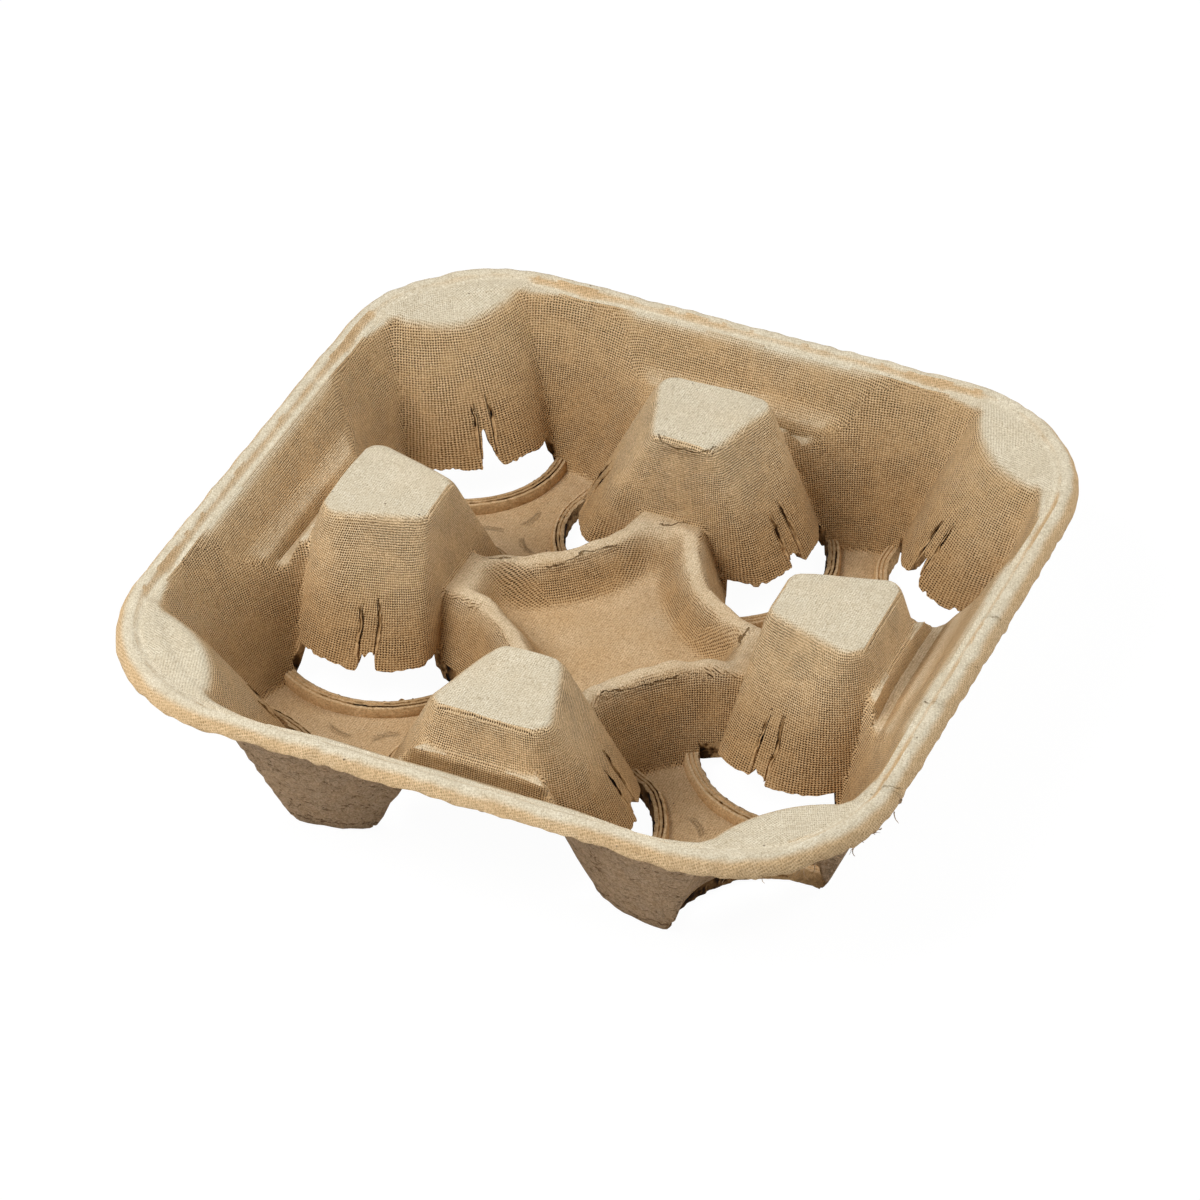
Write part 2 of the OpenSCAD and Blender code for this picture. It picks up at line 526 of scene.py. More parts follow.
@dataclass
class MouldedSheet:
    """One side of the sheet: a square grid stretched to the rim and draped over the form."""

    form: MouldForm
    side: Side
    half: float
    rounds: int = 170
    ease: float = 0.55
    dent: float = 0.2
    lump: float = 0.32
    side_rise: float = 1.09
    ridge_reach: float = 47.0
    ridge_rise: float = 1.15
    ridge_upright: float = 0.86
    end_share: float = 0.36
    end_lean: float = 0.5
    obj: bpy.types.Object = field(init=False)

    @property
    def inset(self) -> float:
        """Distance of this side below the screen face."""
        return 0.0 if self.side is Side.SCREEN else self.form.s.wall

    def edge(self, count: int) -> Array:
        """Points of the sheet's front edge, from corner to corner, evenly spaced.

        Args:
            count: Number of cells along the edge.

        Returns:
            Points of the edge that lies at the lowest second coordinate.
        """
        k = self.form.s.rim_corner
        r = self.half - k
        arc = r * math.pi / 4.0
        run = np.linspace(-(arc + k), arc + k, count + 1)
        turn = np.maximum(np.abs(run) - k, 0.0) / r
        x = np.sign(run) * (np.minimum(np.abs(run), k) + r * np.sin(turn))
        return np.stack([x, -(k + r * np.cos(turn))], axis=1)

    def spread(self) -> Array:
        """Spread the grid evenly inside the rounded square.

        Returns:
            Places by row and column.
        """
        n = self.side.value
        front = self.edge(n)
        back = front * (1, -1)
        left = front[:, ::-1]
        right = left * (-1, 1)
        t = np.linspace(0.0, 1.0, n + 1)
        s, r = t[None, :, None], t[:, None, None]
        ruled = (1 - r) * front[None] + r * back[None] + (1 - s) * left[:, None] + s * right[:, None]
        corners = ((1 - r) * ((1 - s) * front[0] + s * front[-1])
                   + r * ((1 - s) * back[0] + s * back[-1]))
        return ruled - corners

    def relax(self, grid: Array) -> Array:
        """Slide the grid along the form until its cells are even on the surface.

        Args:
            grid: Places by row and column.

        Returns:
            The settled places.
        """
        grid = grid.copy()
        for _ in range(self.rounds):
            z = self.form.height(grid[..., 0], grid[..., 1], self.inset)
            solid = np.concatenate([grid, z[..., None]], axis=2)
            across = np.linalg.norm(np.diff(solid, axis=1), axis=2)
            along = np.linalg.norm(np.diff(solid, axis=0), axis=2)
            east, west = across[1:-1, 1:, None], across[1:-1, :-1, None]
            north, south = along[1:, 1:-1, None], along[:-1, 1:-1, None]
            pull = (east * grid[1:-1, 2:] + west * grid[1:-1, :-2]
                    + north * grid[2:, 1:-1] + south * grid[:-2, 1:-1])
            grid[1:-1, 1:-1] += self.ease * (pull / (east + west + north + south) - grid[1:-1, 1:-1])
        return grid

    def make(self) -> bpy.types.Object:
        """Model the sheet.

        Returns:
            The sheet, open at its edge.
        """
        n = self.side.value
        bpy.ops.object.select_all(action="DESELECT")
        bpy.ops.mesh.primitive_grid_add(x_subdivisions=n, y_subdivisions=n, size=2.0)
        self.obj = bpy.context.active_object
        start = Build.coords(self.obj)
        column = np.rint((start[:, 0] + 1.0) / 2.0 * n).astype(int)
        row = np.rint((start[:, 1] + 1.0) / 2.0 * n).astype(int)
        plan = self.relax(self.spread())[row, column]
        z = self.form.height(plan[:, 0], plan[:, 1], self.inset)
        away = np.clip((self.half - np.abs(plan).max(axis=1)) / 6.0, 0.0, 1.0)
        raised = np.clip((z + self.inset - 2.2) / 6.0, 0.0, 1.0)
        crest = np.clip((z + self.inset - 20.0) / 4.0, 0.0, 1.0)
        crest *= np.clip((43.0 - np.abs(plan).max(axis=1)) / 4.0, 0.0, 1.0)
        z = z + away * raised * self.dent * self.form.dents.at(plan[:, 0], plan[:, 1])
        z = z + crest * self.lump * self.form.lumps.at(plan[:, 0], plan[:, 1])
        Build.place(self.obj, np.column_stack([plan, z]) * MM)
        Build.attribute(self.obj, "back", 0.0 if self.side is Side.SCREEN else 1.0)
        self.lay_weave()
        return self.obj

    def lay_weave(self) -> None:
        """Give every part of the sheet its own run of the screen, as a UV map in millimetres."""
        mesh = self.obj.data
        points = Build.coords(self.obj) / MM
        loops = np.empty(len(mesh.loops), dtype=int)
        mesh.loops.foreach_get("vertex_index", loops)
        quads = points[loops.reshape(-1, 4)]
        middle = quads.mean(axis=1)
        part = self.form.regions(middle[:, 0], middle[:, 1])
        local = quads[..., :2] * np.where(middle[:, :2] < 0.0, -1.0, 1.0)[:, None]
        swap = np.abs(middle[:, 1]) > np.abs(middle[:, 0])
        local[swap] = local[swap][..., ::-1]
        s = self.form.s
        hubs = {Region.POCKET: (s.pocket_c, s.pocket_c, 36.0), Region.TOWER_SIDE: (s.foot[0], 0.0, 24.0),
                Region.BRACE_SIDE: (s.plateau_c, s.plateau_c, 36.0)}
        weave = local.copy()
        runs = np.concatenate([[0.0], np.cumsum(np.hypot(*np.diff(self.form.CHANNEL, axis=0).T))])
        channel = part == Region.CHANNEL
        weave[channel, :, 0] = np.interp(local[channel, :, 0], self.form.CHANNEL[:, 0], runs)
        for region, (hub_u, hub_v, reach) in hubs.items():
            chosen = part == region
            turn = unwrap(np.arctan2(local[chosen, :, 1] - hub_v, local[chosen, :, 0] - hub_u), math.tau)
            weave[chosen] = np.stack([turn * reach, quads[chosen, :, 2] * self.side_rise], axis=2)
        twill = part == Region.PLATEAU
        weave[twill] = weave[twill] @ TWILL
        upright = np.cross(quads[:, 2] - quads[:, 0], quads[:, 3] - quads[:, 1])
        upright = np.abs(upright[:, 2]) / (np.linalg.norm(upright, axis=1) + 1e-9)
        walls = (part == Region.CENTRE) & (upright < self.ridge_upright)
        turn = unwrap(np.arctan2(local[walls, :, 1] - s.pocket_c, local[walls, :, 0] - s.pocket_c), math.tau)
        weave[walls] = np.stack([turn * self.ridge_reach, quads[walls, :, 2] * self.ridge_rise], axis=2)
        away = np.abs(middle[:, :2])
        ends = walls & (away.min(axis=1) < self.end_share * away.max(axis=1))
        weave[ends] = np.stack([local[ends, :, 1], quads[ends, :, 2] + self.end_lean * local[ends, :, 0]], axis=2)
        layer = mesh.uv_layers[0] if mesh.uv_layers else mesh.uv_layers.new()
        layer.name = "screen"
        layer.data.foreach_set("uv", weave.reshape(-1).astype(np.float32))


@dataclass
class RolledRim:
    """The rim, swept ring by ring from the screen side over the crest and back under it."""

    form: MouldForm
    start: float
    profile: tuple[tuple[float, float], ...] = (
        (98.1, 46.4), (98.9, 46.55), (99.6, 47.25), (100.4, 47.95), (101.4, 47.95), (102.5, 47.5), (103.4, 46.7),
        (104.1, 45.6), (104.5, 44.5), (104.6, 43.8), (104.3, 43.3), (103.5, 43.2), (102.7, 43.6), (102.3, 44.6),
        (101.3, 45.6), (100.0, 45.7), (98.9, 44.6))
    leave: tuple[float, ...] = (-0.06, 0.14, 0.62, 1.0)
    back_from: int = 11
    ragged_z: float = 45.5
    ragged_reach: float = 2.2
    front_lift: float = 0.9

    def offset(self, plan: Array, half: Array | float) -> Array:
        """Slide points of one ring out or in to another.

        Args:
            plan: Places in the plane.
            half: Half width of the wanted ring.

        Returns:
            The places on the wanted ring.
        """
        k = self.form.s.rim_corner
        core = np.clip(plan, -k, k)
        way = plan - core
        way /= np.linalg.norm(way, axis=1, keepdims=True)
        return core + way * np.reshape(np.asarray(half) - k, (-1, 1))

    def sweep(self, shell: bpy.types.Object, screen_count: int) -> None:
        """Extrude the rim from the edge of the screen side and close it on the back.

        Args:
            shell: Object that holds both sheets.
            screen_count: Number of vertices of the screen side, which come first.
        """
        mesh = shell.data
        edge_use: dict[tuple[int, int], int] = {}
        for face in mesh.polygons:
            for key in face.edge_keys:
                edge_use[key] = edge_use.get(key, 0) + 1
        for part in (*mesh.vertices, *mesh.edges, *mesh.polygons):
            part.select = False
        for edge in mesh.edges:
            key = tuple(sorted(edge.vertices))
            edge.select = edge_use[key] == 1 and key[0] < screen_count
        ragged, lumps = Waviness(23, 3.0, 4.0), Waviness(24, 40.0)
        knots, humps = Waviness(25, 4.0), Waviness(26, 12.0)
        Build.attribute(shell, "profile", 0.0)
        Build.only(shell)
        for number, (half, z) in enumerate(self.profile):
            bpy.ops.object.mode_set(mode="EDIT")
            bpy.ops.mesh.select_mode(type="EDGE")
            bpy.ops.mesh.extrude_region_move()
            bpy.ops.object.mode_set(mode="OBJECT")
            picked = np.empty(len(shell.data.vertices), dtype=bool)
            shell.data.vertices.foreach_get("select", picked)
            points = Build.coords(shell) / MM
            ring = points[picked]
            plan = self.offset(ring[:, :2], half)
            low = max(0.0, self.ragged_z - z) / self.ragged_reach
            rise = z + low * (0.2 * ragged.at(*plan.T) + 0.18 * lumps.at(*plan.T))
            if number < len(self.leave):
                inner = self.offset(ring[:, :2], self.start)
                edge = self.form.height(inner[:, 0], inner[:, 1], 0.0)
                rise = edge + self.leave[number] * (self.profile[3][1] - edge)
            rise = rise + min(1.0, number / 3.0) * (0.1 * knots.at(*plan.T) + 0.12 * humps.at(*plan.T))
            front = np.clip((70.0 - np.abs(plan[:, 0])) / 25.0, 0.0, 1.0) * (plan[:, 1] < -90.0)
            rise = rise + low * self.front_lift * front
            out = half + low * 0.12 * ragged.at(plan[:, 1], plan[:, 0])
            points[picked] = np.column_stack([self.offset(plan, out), rise])
            Build.place(shell, points * MM)
            Build.mark(shell, "back", picked, float(number >= self.back_from))
            Build.mark(shell, "profile", picked, number + 1.0)
        last = {tuple(sorted(e.vertices)) for e in shell.data.edges if e.select}
        for edge in shell.data.edges:
            key = tuple(sorted(edge.vertices))
            if key in last or (edge_use.get(key, 0) == 1 and screen_count <= key[0]):
                edge.select = True
        bpy.ops.object.mode_set(mode="EDIT")
        bpy.ops.mesh.select_mode(type="EDGE")
        bpy.ops.mesh.bridge_edge_loops()
        bpy.ops.mesh.select_all(action="SELECT")
        bpy.ops.mesh.normals_make_consistent(inside=False)
        bpy.ops.mesh.quads_convert_to_tris(quad_method="SHORTEST_DIAGONAL")
        bpy.ops.object.mode_set(mode="OBJECT")
        self.lay_weave(shell)

    def lay_weave(self, shell: bpy.types.Object) -> None:
        """Run the screen's weave along the rim and round its profile.

        Args:
            shell: The shell, in triangles.
        """
        mesh = shell.data
        ring = np.empty(len(mesh.vertices), dtype=np.float32)
        mesh.attributes["profile"].data.foreach_get("value", ring)
        loops = np.empty(len(mesh.loops), dtype=int)
        mesh.loops.foreach_get("vertex_index", loops)
        corners = loops.reshape(-1, 3)
        chosen = ring[corners].max(axis=1) > 0.0
        plan = (Build.coords(shell) / MM)[corners[chosen], :2]
        k, reach = self.form.s.rim_corner, 41.0
        core = np.clip(plan, -k, k)
        way = plan - core
        turn = np.arctan2(way[..., 1], way[..., 0])
        run = reach * turn
        run += np.where(np.abs(way[..., 1]) > np.abs(way[..., 0]), -np.sign(way[..., 1]) * core[..., 0],
                        np.sign(way[..., 0]) * core[..., 1])
        run += 2.0 * k * np.rint(turn / (math.pi / 2.0))
        whole = math.tau * reach + 8.0 * k
        run = unwrap(run, whole)
        uv = np.empty(len(mesh.loops) * 2, dtype=np.float32)
        mesh.uv_layers["screen"].data.foreach_get("uv", uv)
        uv = uv.reshape(-1, 3, 2)
        weave = np.stack([run, ring[corners[chosen]] * 1.1], axis=2)
        uv[chosen] = weave @ TWILL
        mesh.uv_layers["screen"].data.foreach_set("uv", uv.reshape(-1))


@dataclass(frozen=True)
class Flap:
    """One flap that squeezes a cup, with the opening under it."""

    pocket: tuple[float, float]
    foot: tuple[float, float]
    foot_r: float
    middle: float
    seed: int
    edge_z: float = 11.8
    tilt: float = 0.0
    notch: float = 3.2
    lean: int = 0
    slit_top: float = 28.0
    gap: float = 4.6

    def span(self, radius: Array | float, pocket_r: Array | float) -> Array:
        """Half angle, seen from the foot's centre, at which a circle meets the pocket wall.

        Args:
            radius: Radius about the foot's centre.
            pocket_r: Radius of the pocket wall.

        Returns:
            The half angle in radians.
        """
        d = math.dist(self.pocket, self.foot)
        return np.arccos((d ** 2 + np.asarray(radius) ** 2 - np.asarray(pocket_r) ** 2) / (2 * d * radius))

    @property
    def bearing(self) -> float:
        """Direction from the foot's centre to the pocket's centre."""
        return math.atan2(self.pocket[1] - self.foot[1], self.pocket[0] - self.foot[0])

    def polar(self, radius: Array, turn: Array, z: Array) -> Array:
        """Turn polar places about the foot into points.

        Args:
            radius: Radii.
            turn: Directions in radians.
            z: Heights.

        Returns:
            The points.
        """
        radius, turn, z = np.broadcast_arrays(radius, turn, z)
        return np.stack([self.foot[0] + radius * np.cos(turn), self.foot[1] + radius * np.sin(turn), z], axis=-1)

    def window(self, stations: int = 100) -> bpy.types.Object:
        """Model the cutter of the opening, whose top is the ragged edge of the flap.

        Args:
            stations: Number of stations along the flap.

        Returns:
            The cutter.
        """
        d, wall_r = math.dist(self.pocket, self.foot), 33.3
        half = float(self.span(self.foot_r, wall_r)) - 0.004
        turn = np.linspace(-half, half, stations)
        inner = d * np.cos(turn) - np.sqrt(wall_r ** 2 - (d * np.sin(turn)) ** 2)
        inner = np.minimum(inner, self.foot_r - 0.4)
        run = turn * self.foot_r
        off = (turn - (self.middle - self.bearing)) * (self.foot_r - 4.0)
        fine, coarse = Waviness(self.seed, 1.5, 3.0), Waviness(self.seed + 50, 8.0)
        zeros = np.zeros_like(run)
        lumps = np.maximum(Waviness(self.seed + 60, 2.6).at(run, zeros) - 0.7, 0.0)
        edge = (self.edge_z + self.tilt * run / 25.0 + 0.07 * fine.at(run, zeros)
                + 0.33 * coarse.at(run, zeros) + 0.38 * lumps)
        slope = np.where(off * self.lean > 0.0, 1.3 + 0.35 * self.notch, 1.3)
        step = soft_step((self.gap / 2.0 + 0.35 * slope - np.abs(off)) / slope, 0.0, 1.0)
        edge = edge + self.notch * step * (0.95 + 0.1 * fine.at(run, zeros + 3.0))
        outer = self.foot_r + 0.25 + 0.1 * fine.at(run, zeros + 7.0)
        turn = turn + self.bearing
        low = zeros - 1.0
        sections = np.stack([self.polar(outer, turn, low), self.polar(outer, turn, edge),
                             self.polar(inner, turn, edge), self.polar(inner, turn, low)], axis=1)
        return Build.tube(sections, "window_cutter")

    def face(self, form: MouldForm, aside: Array, z: Array, inset: float) -> Array:
        """Find the flap's face along its middle direction.

        Args:
            form: The mould form.
            aside: Distances to the side of the flap's middle.
            z: Heights.
            inset: Distance below the screen face.

        Returns:
            Distances from the foot's centre.
        """
        low, high = np.zeros_like(z), np.full_like(z, self.foot_r + 2.0)
        for _ in range(24):
            middle = (low + high) / 2.0
            spot = self.beside(middle, aside, z)
            inside = form.height(spot[:, 0], spot[:, 1], inset) > z
            low, high = np.where(inside, middle, low), np.where(inside, high, middle)
        return (low + high) / 2.0

    def beside(self, reach: Array, aside: Array, z: Array) -> Array:
        """Turn places along and across the flap's middle direction into points.

        Args:
            reach: Distances from the foot's centre.
            aside: Distances to the side.
            z: Heights.

        Returns:
            The points.
        """
        cos, sin = math.cos(self.middle), math.sin(self.middle)
        x, y = self.foot
        return np.column_stack([x + reach * cos - aside * sin, y + reach * sin + aside * cos, z])

    def line(self, hand: int, stations: int) -> tuple[Array, Array, Array]:
        """Course of one slit.

        Args:
            hand: Which of the two slits, -1 or 1.
            stations: Number of stations up the slit.

        Returns:
            Heights, distances to the side and widths.
        """
        wobble, rough = Waviness(self.seed + 7 * hand, 5.0), Waviness(self.seed + 9 * hand, 1.6)
        z = np.linspace(self.edge_z - 1.5, self.slit_top + 0.8 * hand, stations)
        up = (z - z[0]) / (z[-1] - z[0])
        aside = hand * (self.gap / 2.0 - 0.5 * up) + 0.16 * wobble.at(z, np.zeros_like(z))
        return z, aside, 0.42 - 0.16 * up + 0.08 * rough.at(z, np.zeros_like(z))

    def slit(self, form: MouldForm, hand: int, inset: float, stations: int = 20) -> bpy.types.Object:
        """Model the cutter of one side of a slit, which is torn and stepped half way through the sheet.

        Args:
            form: The mould form.
            hand: Which of the two slits, -1 or 1.
            inset: Distance of the cut side below the screen face.
            stations: Number of stations up the slit.

        Returns:
            The cutter.
        """
        z, aside, wide = self.line(hand, stations)
        face = self.face(form, aside, z, inset)
        if inset:
            aside = aside + 0.8 * hand * wide
        spans = (-3.0, 1.05) if inset else (-1.2, 3.0)
        columns = [self.beside(face + spans[far], aside + edge * wide, z)
                   for far, edge in ((0, -0.5), (1, -0.5), (1, 0.5), (0, 0.5))]
        return Build.tube(np.stack(columns, axis=1), "slit_cutter")

    def fringe(self, form: MouldForm, hand: int, stations: int = 20) -> bpy.types.Object:
        """Model the torn fibre that stands up along a slit.

        Args:
            form: The mould form.
            hand: Which of the two slits, -1 or 1.
            stations: Number of stations up the slit.

        Returns:
            The fringe, its foot inside the flap.
        """
        z, aside, _ = self.line(hand, stations)
        z = np.linspace(self.edge_z + self.notch * 0.6 + 0.4, z[-1] - 0.3, stations)
        share = np.linspace(0.0, 1.0, stations)
        swell = np.sin(math.pi * (0.06 + 0.88 * share)) ** 0.5
        tall = swell * (0.5 + 0.2 * Waviness(self.seed + 31 * hand, 2.4).at(z, np.zeros_like(z)))
        aside = np.interp(z, np.linspace(self.edge_z - 1.5, self.slit_top + 0.8 * hand, stations), aside)
        aside = aside + hand * (0.62 + 0.1 * Waviness(self.seed + 33 * hand, 1.7).at(z, np.zeros_like(z)))
        face = self.face(form, aside, z, 0.0)
        columns = []
        for turn in np.radians((15.0, 60.0, 110.0, 165.0, 235.0, 305.0)):
            rise = math.sin(turn) * np.where(math.sin(turn) > 0.0, tall, 0.55)
            columns.append(self.beside(face + rise, aside + 0.55 * swell * math.cos(turn), z))
        return Build.tube(np.stack(columns, axis=1), "fringe")

    def lip(self, stations: int = 64) -> bpy.types.Object:
        """Model the flat lip that borders the opening.

        Args:
            stations: Number of stations along the lip.

        Returns:
            The lip, its ends inside the pocket wall.
        """
        profile = np.array([(0.0, 0.5), (0.0, 4.3), (0.35, 4.95), (1.2, 5.05), (1.45, 4.72), (1.7, 5.0), (2.3, 5.0),
                            (2.55, 4.6), (2.8, 4.9), (3.4, 4.75), (3.8, 4.0), (4.0, 2.2), (4.1, 0.5)])
        radius, z = self.foot_r + profile[:, 0], profile[:, 1]
        half = self.span(radius, 31.0 + 0.384 * (z - 2.0) + 1.1)
        share = np.linspace(-1.0, 1.0, stations)
        turn = self.bearing + share[:, None] * half[None, :]
        wave = Waviness(self.seed + 90, 9.0).at(share * 25.0, share * 0.0)[:, None]
        rough = Waviness(self.seed + 91, 1.6).at(share * 25.0, share * 0.0)[:, None]
        inside = np.exp(-profile[:, 0] / 0.8)[None, :]
        top = np.clip((z - 2.0) / 2.4, 0.0, 1.0)[None, :]
        sections = self.polar(radius + 0.1 * wave + 0.13 * inside * rough, turn,
                              z + top * (0.12 * wave + 0.05 * rough))
        return Build.tube(sections, "lip")


@dataclass(frozen=True)
class Crease:
    """A cracked fold in the pulp, through a few points in millimetres."""

    points: tuple[tuple[float, float, float], ...]

    def measure(self, spots: Array, normals: Array) -> tuple[Array, Array]:
        """Measure how places lie to the crease.

        Args:
            spots: Places on the shell.
            normals: Normals of the shell there.

        Returns:
            Distances across the crease, with their sign, and distances past its ends.
        """
        across, past = np.full(len(spots), FAR_ASIDE), np.full(len(spots), FAR_PAST)
        for start, end in zip(self.points, self.points[1:]):
            way = np.subtract(end, start)
            length = np.linalg.norm(way)
            way = way / length
            run = (spots - start) @ way
            foot = np.asarray(start) + np.clip(run, 0.0, length)[:, None] * way
            aside = np.einsum("ij,ij->i", spots - foot, np.cross(normals, way))
            over = np.abs(run - np.clip(run, 0.0, length))
            gap = np.linalg.norm(spots - foot, axis=1)
            closer = (gap < 7.0) & (np.hypot(aside, over) < np.hypot(across, past))
            across, past = np.where(closer, aside, across), np.where(closer, over, past)
        return across, past


CREASES = (
    Crease(((-6.8, 49.0, 47.6), (-4.6, 46.9, 46.8), (-1.0, 46.9, 46.4), (4.5, 46.9, 46.6), (7.6, 48.2, 47.1),
            (9.5, 51.6, 47.1))),
    Crease(((11.4, -31.4, 25.8), (13.8, -29.2, 25.4), (18.9, -23.6, 24.0), (26.6, -16.1, 24.4))),
    Crease(((-23.6, 11.2, 24.4), (-20.0, 14.0, 24.6), (-16.0, 20.0, 25.4), (-9.0, 27.5, 25.4))),
    Crease(((-41.3, 8.4, 25.2), (-36.4, 7.8, 25.8), (-32.0, 9.7, 26.0))),
    Crease(((96.0, -25.2, 46.5), (99.5, -25.8, 48.2))),
    Crease(((99.4, 10.3, 48.1), (102.7, 12.4, 47.3))),
    Crease(((96.0, -62.5, 47.6), (99.0, -60.6, 47.8), (102.1, -58.2, 46.1))),
    Crease(((-2.0, 39.6, 25.6), (1.5, 40.4, 25.8), (3.4, 43.0, 26.4))),
    Crease(((34.0, 3.0, 25.8), (36.0, 5.6, 25.9), (36.4, 8.0, 26.0))),
)


@dataclass(frozen=True)
class LooseFibres:
    """Torn fibres and nubs of pulp that hang at the lower edge of the rim."""

    seed: int = 71
    count: int = 34
    corner: float = 59.8
    root_z: float = 43.7
    nub_z: float = 44.4
    nubs: tuple[tuple[float, float, float], ...] = (
        (102.3, 3.6, 1.3), (101.4, -20.8, 1.1), (101.6, -60.0, 1.5), (96.6, -75.0, 1.2), (54.0, -103.6, 1.0),
        (12.0, -103.6, 0.9))

    def strand(self, start: Array, way: Array, length: float, thick: float,
               rng: np.random.Generator) -> bpy.types.Object:
        """Model one fibre as a thin curling bar.

        Args:
            start: Its root in millimetres.
            way: Direction in which it leaves.
            length: Its length.
            thick: Its radius.
            rng: Source of its curl.

        Returns:
            The fibre.
        """
        stations = 7
        places, way = [start], way / np.linalg.norm(way)
        for _ in range(stations - 1):
            way = way + rng.normal(size=3) * 0.42
            way /= np.linalg.norm(way)
            places.append(places[-1] + way * length / (stations - 1))
        path = np.array(places)
        tangent = np.gradient(path, axis=0)
        side = np.cross(tangent, (0.31, 0.52, 0.79))
        side /= np.linalg.norm(side, axis=1, keepdims=True)
        other = np.cross(tangent, side)
        other /= np.linalg.norm(other, axis=1, keepdims=True)
        radius = thick * np.linspace(1.0, 0.35, stations)[:, None]
        columns = [path + radius * (math.cos(a) * side + math.sin(a) * other) for a in np.arange(5) * math.tau / 5]
        return Build.tube(np.stack(columns, axis=1), "fibre")

    def make(self) -> list[bpy.types.Object]:
        """Model the fibres and nubs.

        Returns:
            Closed bars and lumps, to be joined to the shell.
        """
        rng = np.random.default_rng(self.seed)
        parts = []
        for _ in range(self.count):
            turn = math.radians(rng.uniform(-100.0, 10.0))
            reach = 43.6 - rng.uniform(0.0, 1.4)
            root = np.array([self.corner + reach * math.cos(turn), reach * math.sin(turn) - self.corner, self.root_z])
            way = np.array([math.cos(turn) * 0.3, math.sin(turn) * 0.3, -0.5]) + rng.normal(size=3) * 0.5
            parts.append(self.strand(root, way, rng.uniform(1.5, 5.0), rng.uniform(0.09, 0.2), rng))
        for x, y, size in self.nubs:
            bpy.ops.object.select_all(action="DESELECT")
            bpy.ops.mesh.primitive_ico_sphere_add(subdivisions=2, radius=size, calc_uvs=True)
            nub = bpy.context.active_object
            points = Build.coords(nub)
            lumps = 1.0 + 0.2 * Waviness(self.seed + len(parts), 1.2 * size).at(*points.T)
            Build.place(nub, (points * lumps[:, None] * (1.0, 1.0, 0.7) + (x, y, self.nub_z)) * MM)
            nub.data.uv_layers[0].name = "screen"
            parts.append(nub)
        for part in parts:
            Build.attribute(part, "back", 1.0)
        return parts


